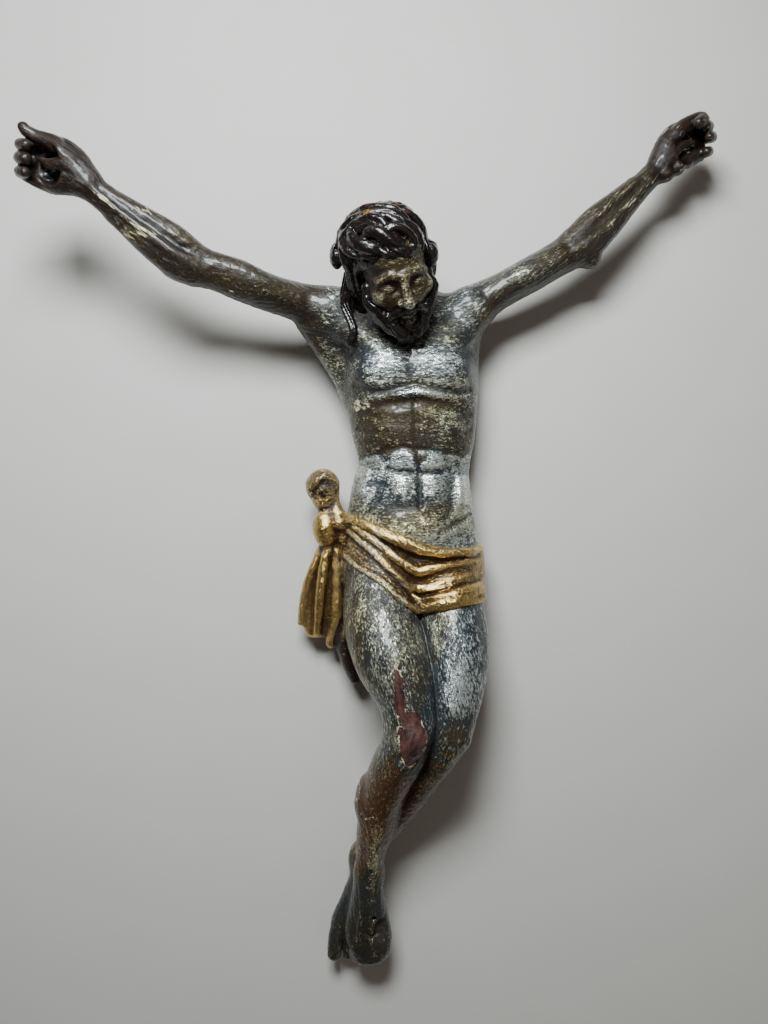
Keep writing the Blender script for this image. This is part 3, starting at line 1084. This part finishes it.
# Where each kind of wear is stronger or weaker on the front of the figure: spots given by x, y,
# half width, half height and strength.
UPPER_SPOTS = {
    "tone": [
        (-1, 62, 10, 8, 0.4), (24, 64, 10, 7, 0.6), (25, 38, 8, 7, 0.4), (-12, 57, 4, 8, -0.6),
        (19, 51, 9, 1.8, 0.9), (-2, 12, 4, 4, -0.5), (34, 7, 3.4, 11, 0.6), (38, 66, 3.4, 9, -1.6),
        (13, 2, 16, 3, -0.4), (14, 15, 1.6, 9, -0.4), (13, 38, 1.8, 8, -0.6),
        (28, 42, 8, 7, 0.45), (0, 40, 8, 8, -0.2), (10, 4, 20, 5, -0.3), (-12, 20, 4, 5, 0.4),
        (-16, 76, 7, 10, -0.4), (60, 103, 16, 6, 0.3), (12, -4, 24, 7, -0.3),
        (12, 38, 22, 9, -0.15),
    ],
    "warm": [
        (0, 55, 22, 5, 0.3), (-1, 64, 9, 7, -0.8), (24, 64, 10, 7, -0.8), (8, -4, 24, 7, 1.3),
        (38, 66, 3, 9, -1), (20, 51, 11, 1.8, -0.6), (28, 74, 7, 7, 0.5),
    ],
    "cream": [
        (-10, 46, 4.6, 3.4, 0.85), (-13.5, 32, 2.4, 6, 0.5), (-60, 92, 14, 3, 0.6),
        (-98, 112, 12, 3, 0.9), (-113, 125, 6, 3, 0.8), (-96, 121, 9, 2, 0.7),
    ],
    "paint": [
        (-62, 93, 16, 3.4, -0.5), (-98, 112, 14, 3, -0.4), (98, 124, 9, 12, -0.35),
        (60, 104, 12, 4, -0.3), (4, 84, 12, 5, 0.5), (-12, 86, 5, 12, 0.4),
    ],
    "head paint": [(-8, 94, 9, 14, 0.5), (14, 98, 7, 8, -0.4)],
}
LEG_SPOTS = {
    "tone": [
        (30, -88, 9, 9, -0.4), (0, -45, 7, 14, 0.15), (-12, -50, 5, 20, -0.2),
        (-4, -150, 3, 16, 0.5), (20, -70, 4, 12, -0.4), (31, -72, 8, 9, 0.8),
        (14, -74, 3, 12, -0.4),
    ],
    "warm": [(-12, -50, 6, 22, 0.8), (30, -92, 8, 6, 1.2)],
    "cream": [(-12, -58, 4, 16, 0.4), (6, -60, 5, 5, 0.4)],
    "paint": [
        (15, -98, 5, 10, 0.6), (-10, -112, 6, 14, 0.4), (16, -66, 4, 16, 0.4),
        (28, -96, 8, 8, 0.3), (20, -108, 12, 6, 0.5),
    ],
}
CLOTH_SPOTS = {
    "tone": [
        (-26, -9, 6, 7, 0.6), (28, -34, 12, 4, 0.6), (16, -25, 14, 4, 0.5), (-29, -36, 5, 18, 0.7),
        (-6, -9, 6, 4, 0.5), (-27, 12, 9, 9, -0.7),
    ],
    "paint": [
        (-27, 13, 9, 9, 0.1), (-26, -17, 6, 3, 0.7), (-20, -50, 4, 16, 0.5),
        (-16, -71, 9, 17, 1.4), (18, -17.5, 9, 2.4, 0.6),
    ],
}
HAIR_SPOTS = {
    "tone": [(0, 120, 16, 6, 0.9), (-16, 112, 6, 8, 0.3)],
    "cream": [(-7, 117, 4, 2, 0.8)],
}

# Outlines of what has flaked off the legs, seen from the front.
LEG_LOSSES = [
    # The long flake over the upper knee.
    [(4, -63), (6, -62.8), (7, -65), (8, -68), (8.4, -72), (8.8, -76), (8.6, -79.8), (11.4, -79),
     (14, -80), (15, -82.4), (15.7, -85), (16.7, -87), (17.1, -90), (17.3, -93.4), (15.4, -95.6),
     (14, -98.6), (12.8, -101.4), (11, -102.8), (8.4, -101.4), (6.8, -98.4), (5.8, -95),
     (5.4, -91), (5.1, -87.5), (5.5, -85.4), (7.2, -85), (5.8, -83), (4.6, -80), (3.8, -76),
     (3.7, -71)],
    # Flakes at the outer side of the other knee and at the right calf.
    [(42, -78), (40.4, -82), (39.3, -85.3), (37.3, -88.6), (35.2, -90.3), (35.4, -93),
     (36.8, -95.6), (41, -95), (46, -86)],
    [(-16, -112), (-11.5, -115), (-10.4, -117), (-10.6, -120.6), (-12, -123.4), (-14.4, -125.6),
     (-18, -126)],
    # Cracks across the calf and above the ankle.
    [(-11, -128.4), (-10, -127.6), (-8.6, -129), (-7.2, -129.2), (-5.4, -127.6), (-3.6, -128),
     (-3.8, -128.8), (-5.4, -128.4), (-7.2, -130), (-9, -129.8), (-10.2, -128.6)],
    [(-6.4, -157.6), (-5, -158.8), (-3.2, -159.4), (-3.4, -160), (-5.4, -159.6), (-6.8, -158.4)],
]
NO_LOSS = -2  # the mark of a point that lies this far or farther outside every loss
LOSS_FRONT = 20  # the losses lie in front of this height above the back
LOSS_DEPTH = 0.35  # the thickness of the gesso and bole that has come away
LOSS_EDGE = 0.3  # half the width of the slope at a loss's edge

# The middle lines of the arms and of the legs, which the rasp followed.
ARM_LINE = np.array([
    [-145, 145], [-120, 132], [-104, 120], [-92, 110.5], [-82, 103.4], [-71, 100.4], [-56, 95.4],
    [-37, 91], [-20, 88], [30, 88], [38, 89.6], [50, 96.6], [64, 104], [76, 110.8], [86.5, 117.4],
    [96, 126], [107.5, 138.6], [121, 153.6], [145, 175],
])
LEG_LINE = np.array([[-205, -6], [-161, -6], [-122, 2], [-87, 14], [-60, 8], [-22, 4]])
CLOTH_LINE = np.array([[-20, 0], [14, -20], [46, -14]])

# Where the wear changes: the middle of the head and its reach, heights, and places across.
HEAD_MIDDLE = [3, 101, 50]
HEAD_REACH = 24
CHEST_EDGE = 50
WAIST = 28
RIGHT_ARM, LEFT_ARM = -20, 36
RIGHT_WRIST, LEFT_WRIST = -104, 108
SHIN_TOP = -96
ANKLE = -152


def spots(points, table):
    """The strength of the soft spots in a table, at each point."""
    total = np.zeros(len(points), np.float32)
    for x, y, wide, high, strength in table:
        share = ((points[:, 0] - x) / wide) ** 2 + ((points[:, 1] - y) / high) ** 2
        total += strength * np.exp(-share)
    return total


def inside(points, outline):
    """How deep a point lies inside an outline seen from the front, in millimetres."""
    outline = np.array(outline, float)
    p = points[:, :2]
    nearest = np.full(len(p), 1e3)
    crossed = np.zeros(len(p), bool)
    for a, b in zip(outline, np.roll(outline, -1, 0)):
        side = b - a
        t = np.clip((p - a) @ side / (side @ side), 0, 1)
        nearest = np.minimum(nearest, np.linalg.norm(p - a - t[:, None] * side, axis=1))
        spans = (a[1] > p[:, 1]) != (b[1] > p[:, 1])
        height = side[1] if side[1] else 1e-9
        crossed ^= spans & (p[:, 0] < a[0] + (p[:, 1] - a[1]) * side[0] / height)
    return np.where(crossed, nearest, -nearest)


def ripples(points, size, seed, count=20):
    """Smooth unevenness, about as wide as its size and one in height."""
    random = np.random.default_rng(seed)
    value = np.zeros(len(points))
    for _ in range(count):
        way = unit(random.normal(size=3)) * 2 * np.pi / size * random.uniform(0.6, 1.5)
        value += np.cos(points @ way + random.uniform(0, 2 * np.pi))
    return value / np.sqrt(count / 2)


def roundness(mesh, points, normals, rounds=14, full=0.22):
    """How far each point stands out of the surface around it: 1 on ridges, -1 in creases."""
    ends = np.empty(len(mesh.edges) * 2, np.int32)
    mesh.edges.foreach_get("vertices", ends)
    a, b = ends[0::2], ends[1::2]
    n = len(points)
    around = np.bincount(a, minlength=n) + np.bincount(b, minlength=n)
    flat_points = points.copy()
    for _ in range(rounds):
        for k in range(3):
            values = flat_points[:, k]
            total = np.bincount(a, values[b], n) + np.bincount(b, values[a], n)
            flat_points[:, k] = total / np.maximum(around, 1)
    return np.clip(((points - flat_points) * normals).sum(1) / full, -1, 1)


def upper_wear(points, uneven):
    """The trunk is greenish above and worn pale over the belly; the arms are darker."""
    x, y, z = points.T
    spot = {name: spots(points, table) for name, table in UPPER_SPOTS.items()}
    head = smooth((HEAD_REACH - np.linalg.norm(points - HEAD_MIDDLE, axis=1)) / 3)
    belly = smooth((WAIST + 2 * uneven - y) / 5)
    panels = smooth((CHEST_EDGE + uneven - y) / 3) * (1 - belly)
    right_arm = smooth((RIGHT_ARM - x + 2 * uneven) / 14)
    left_arm = smooth((x - LEFT_ARM + 2 * uneven) / 14)
    right_hand = smooth((RIGHT_WRIST - x + 2 * uneven) / 14)
    left_hand = smooth((x - LEFT_WRIST + 2 * uneven) / 14)
    tone = -0.15 - 0.25 * panels + 0.5 * belly - 0.45 * right_arm - 0.35 * left_arm + spot["tone"]
    warm = -0.1 + 0.55 * panels - 0.3 * belly + 0.5 * (left_arm + right_arm) + spot["warm"]
    cream = -0.25 * right_arm + 0.05 * left_arm + spot["cream"]
    paint = 0.62 * right_arm + 0.55 * left_arm + 0.4 * right_hand + 0.5 * left_hand + spot["paint"]
    return {
        "tone": tone * (1 - head) - 0.3 * head,
        "warm": warm * (1 - head) + 1.0 * head,
        "cream": cream * (1 - head) - 0.3 * head,
        "paint": paint * (1 - head) + head * (0.3 + spot["head paint"]),
        "lie": np.stack([x, y - np.interp(x, *ARM_LINE.T), z], 1),
    }


def leg_wear(points, uneven):
    """Streaks of silver and chalk run down the thighs; the shins are olive, the feet near black."""
    x, y, z = points.T
    spot = {name: spots(points, table) for name, table in LEG_SPOTS.items()}
    shin = smooth((SHIN_TOP + 3 * uneven - y) / 14)
    foot = smooth((ANKLE + 3 * uneven - y) / 14)
    rear_thigh = smooth((x - 21 - 0.4 * (y + 60)) / 4) * (1 - shin)
    losses = [inside(points, outline) for outline in LEG_LOSSES]
    loss = np.where(z > LOSS_FRONT, np.max(losses, 0), NO_LOSS)
    return {
        "tone": -0.1 - 0.25 * shin - 0.05 * rear_thigh - 0.35 * foot + spot["tone"],
        "warm": 0.05 + 1.5 * shin - 0.8 * rear_thigh - 1.6 * foot + spot["warm"],
        "cream": 0.05 - 0.3 * foot + spot["cream"],
        "paint": 0.02 * shin + 0.15 * foot + spot["paint"],
        "loss": np.clip(loss, NO_LOSS, -NO_LOSS),
        "lie": np.stack([-y, x - np.interp(y, *LEG_LINE.T), z], 1),
    }


def cloth_wear(points, uneven):
    """Gold on the folds, worn to the chalk over the right thigh, dark in the hollows."""
    x, y, z = points.T
    thigh = smooth((6 - x - 0.5 * (y + 10) + 2 * uneven) / 14) * smooth((x + 20) / 4)
    thigh *= smooth((-5 - y) / 4) * smooth((y + 44) / 6)
    return {
        "tone": 0.1 - 0.25 * thigh + spots(points, CLOTH_SPOTS["tone"]),
        "cream": 0.1 + 0.5 * thigh,
        "paint": spots(points, CLOTH_SPOTS["paint"]),
        "lie": np.stack([x, y - np.interp(x, *CLOTH_LINE.T), z], 1),
    }


def hair_wear(points, uneven):
    return {name: spots(points, table) for name, table in HAIR_SPOTS.items()}


def no_wear(points, uneven):
    return {}


# Pieces

STEP = 0.55  # between the samples of the carving, in millimetres
FINE_STEP = STEP * 0.7  # for the hair and the beard
MOST_TRIANGLES = 190000  # in one piece, before it is sawn


def mesh_of(name, points, faces):
    mesh = bpy.data.meshes.new(name)
    place = ((points + CARVING_PLACE) * MM).astype(np.float32)
    mesh.vertices.add(len(place))
    mesh.vertices.foreach_set("co", place.ravel())
    mesh.loops.add(faces.size)
    mesh.loops.foreach_set("vertex_index", faces.ravel().astype(np.int32))
    mesh.polygons.add(len(faces))
    starts = np.arange(0, faces.size, faces.shape[1], dtype=np.int32)
    mesh.polygons.foreach_set("loop_start", starts)
    mesh.update(calc_edges=True)
    mesh.validate()
    return mesh


def thin(obj):
    """Thins the mesh of four-sided faces to the most triangles that it may have."""
    count = 2 * len(obj.data.polygons)
    if count <= MOST_TRIANGLES:
        return
    modifier = obj.modifiers.new("thin", "DECIMATE")
    modifier.ratio = MOST_TRIANGLES / count
    graph = bpy.context.evaluated_depsgraph_get()
    mesh = bpy.data.meshes.new_from_object(obj.evaluated_get(graph))
    obj.modifiers.clear()
    old = obj.data
    obj.data = mesh
    bpy.data.meshes.remove(old)


def saw(obj, cuts):
    """Cuts the piece by planes and closes it; each cut is a point and the side that goes."""
    bm = bmesh.new()
    bm.from_mesh(obj.data)
    for point, normal in cuts:
        place = (np.array(point) + CARVING_PLACE) * MM
        found = bmesh.ops.bisect_plane(
            bm, geom=bm.verts[:] + bm.edges[:] + bm.faces[:], dist=WELD,
            plane_co=place, plane_no=normal, clear_outer=True)
        edges = [e for e in found["geom_cut"] if isinstance(e, bmesh.types.BMEdge)]
        filled = bmesh.ops.holes_fill(bm, edges=edges, sides=0)
        bmesh.ops.triangulate(bm, faces=filled["faces"])
        for edge in edges:
            if edge.is_valid:
                edge.smooth = False
    bm.to_mesh(obj.data)
    bm.free()


def turned(cut):
    """The same cut with the other side gone."""
    point, normal = cut
    return point, tuple(-v for v in normal)


def age(mesh, wear):
    """Makes the surface uneven, sinks the losses and keeps the wear for the finish to read."""
    n = len(mesh.vertices)
    place = np.empty(n * 3, np.float32)
    mesh.vertices.foreach_get("co", place)
    normals = np.empty(n * 3, np.float32)
    mesh.vertex_normals.foreach_get("vector", normals)
    normals = normals.reshape(-1, 3)
    points = place.reshape(-1, 3) / MM - CARVING_PLACE
    uneven = ripples(points, size=9, seed=4)
    marks = {"tone": 0, "warm": 0, "cream": 0, "paint": 0, "loss": NO_LOSS}
    marks.update(wear(points, uneven))
    lie_of = marks.pop("lie", points)
    lie = mesh.attributes.new("lie", "FLOAT_VECTOR", "POINT")
    lie.data.foreach_set("vector", lie_of.astype(np.float32).ravel())
    marks["rub"] = roundness(mesh, points, normals)
    sunk = LOSS_DEPTH * smooth((marks["loss"] + LOSS_EDGE) / (2 * LOSS_EDGE))
    # Dents 7 mm wide and 20 mm long, and tool marks 2.6 mm wide and 4 mm long between them.
    dents = ripples(lie_of * [0.35, 1, 1], size=7, seed=5)
    tool_marks = ripples(lie_of * [0.6, 1, 1], size=2.6, seed=6)
    lumps = 0.06 * dents + 0.05 * tool_marks
    inner = np.minimum(points[:, 2] / 2, 1)  # the sawn back stays flat
    points = points + normals * ((lumps - sunk) * inner)[:, None]
    mesh.vertices.foreach_set("co", ((points + CARVING_PLACE) * MM).astype(np.float32).ravel())
    for name, values in marks.items():
        mark = mesh.attributes.new(name, "FLOAT", "POINT")
        mark.data.foreach_set("value", (values + np.zeros(n)).astype(np.float32))
    mesh.update()


def piece(name, clay, low, high, node, material, wear, cuts=(), step=STEP):
    """Carves a visible piece in the box from low to high; it stands for a node of the CAD."""
    points, faces = carved(clay, low, high, step)
    obj = bpy.data.objects.new(name, mesh_of(name, points, faces))
    bpy.context.scene.collection.objects.link(obj)
    thin(obj)
    age(obj.data, wear)
    if cuts:
        saw(obj, cuts)
    obj.data.polygons.foreach_set("use_smooth", np.ones(len(obj.data.polygons), bool))
    obj.data.materials.append(material)
    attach(obj, "root")
    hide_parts(node)


silver = silvered_limewood()
gold = gilded_limewood()
brown_paint = painted_limewood()

upper = Clay([*hips(), *shoulders_and_neck(), *arms(), *head()])
limbs = Clay([*torso(), *shoulders_and_neck(), *arms(), *hands()])
lower = Clay([*hips(), *feet()])
cloth = Clay([*loincloth(), *knot()])
tresses = Clay([*hair(), *falling_locks()])
whiskers = Clay(beard())

# Cuts, each as a point and the side that goes: the flat back, the joints of the arms, and the
# plane under the loincloth in which the trunk and the legs meet.
BACK = ((0, 0, 0), (0, 0, -1))
RIGHT_SHOULDER = ((-26, 88, 26), (-0.993, 0.12, 0))
LEFT_SHOULDER = ((36.5, 90, 22), (0.96, 0.28, 0))
UNDER_CLOTH = ((-17, -14, 0), (0.25, 1, 0))

piece("trunk", upper, (-34, -32, -4), (50, 128, 84), "body", silver, upper_wear,
      cuts=[BACK, RIGHT_SHOULDER, LEFT_SHOULDER, turned(UNDER_CLOTH)])
piece("legs", lower, (-32, -208, -4), (52, -12, 66), "body", silver, leg_wear,
      cuts=[BACK, UNDER_CLOTH])
piece("arm_right", limbs, (-152, 56, 4), (-20, 152, 80), "right_arm", silver, upper_wear,
      cuts=[turned(RIGHT_SHOULDER)])
piece("arm_left", limbs, (30, 56, 4), (150, 180, 44), "left_arm", silver, upper_wear,
      cuts=[turned(LEFT_SHOULDER)])
piece("loincloth", cloth, (-42, -80, -4), (50, 24, 52), "body", gold, cloth_wear,
      cuts=[BACK])
piece("hair", tresses, (-34, 66, 18), (36, 134, 84), "body", brown_paint, hair_wear,
      step=FINE_STEP)
piece("beard", whiskers, (-20, 70, 36), (30, 104, 84), "body", brown_paint, no_wear,
      step=FINE_STEP)


# Camera, lights and floor

# The figure lies on its back on a board, and the camera looks straight down on it. These sizes
# are in metres.
CAMERA_HEIGHT = 0.376
FIGURE_MIDDLE = (0, 0, 0.02)
FLOOR_REACH = 3
FLOOR_GAP = 0.0002  # the board lies this far below the back, so that they don't share a plane

camera = bpy.data.cameras.new("camera")
camera.lens = 28.125
camera.sensor_width = 36
view = bpy.data.objects.new("camera", camera)
view.location = (*(CARVING_PLACE[:2] * MM), CAMERA_HEIGHT)
bpy.context.scene.collection.objects.link(view)
bpy.context.scene.camera = view


def softbox(name, place, size, power, colour):
    """A soft light of a power in watts, turned to the figure; its colour is linear light."""
    light = bpy.data.lights.new(name, "AREA")
    light.shape = "RECTANGLE"
    light.size, light.size_y = size
    light.energy = power
    light.color = colour
    obj = bpy.data.objects.new(name, light)
    obj.location = place
    way = Vector(FIGURE_MIDDLE) - Vector(place)
    obj.rotation_euler = way.to_track_quat("-Z", "Y").to_euler()
    bpy.context.scene.collection.objects.link(obj)


softbox("window", place=(-0.065, 0.29, 0.39), size=(0.2, 0.14), power=4.4, colour=(0.9, 0.97, 1))
softbox("fill", place=(0.7, -0.6, 0.9), size=(1.0, 1.0), power=1, colour=(1, 0.9, 0.82))
world = bpy.data.worlds.new("studio")
bpy.context.scene.world = world
world.use_nodes = True
background = world.node_tree.nodes["Background"].inputs
background["Color"].default_value = (0.85, 0.77, 0.7, 1)
background["Strength"].default_value = 0.09

floor_mesh = bpy.data.meshes.new("floor")
corners = [(-1, -1), (1, -1), (1, 1), (-1, 1)]
floor_mesh.from_pydata([(x * FLOOR_REACH, y * FLOOR_REACH, 0) for x, y in corners], [],
                       [(0, 1, 2, 3)])
floor = bpy.data.objects.new("floor", floor_mesh)
floor.location = (0, 0, -FLOOR_GAP)
floor_mesh.materials.append(painted_board())
bpy.context.scene.collection.objects.link(floor)
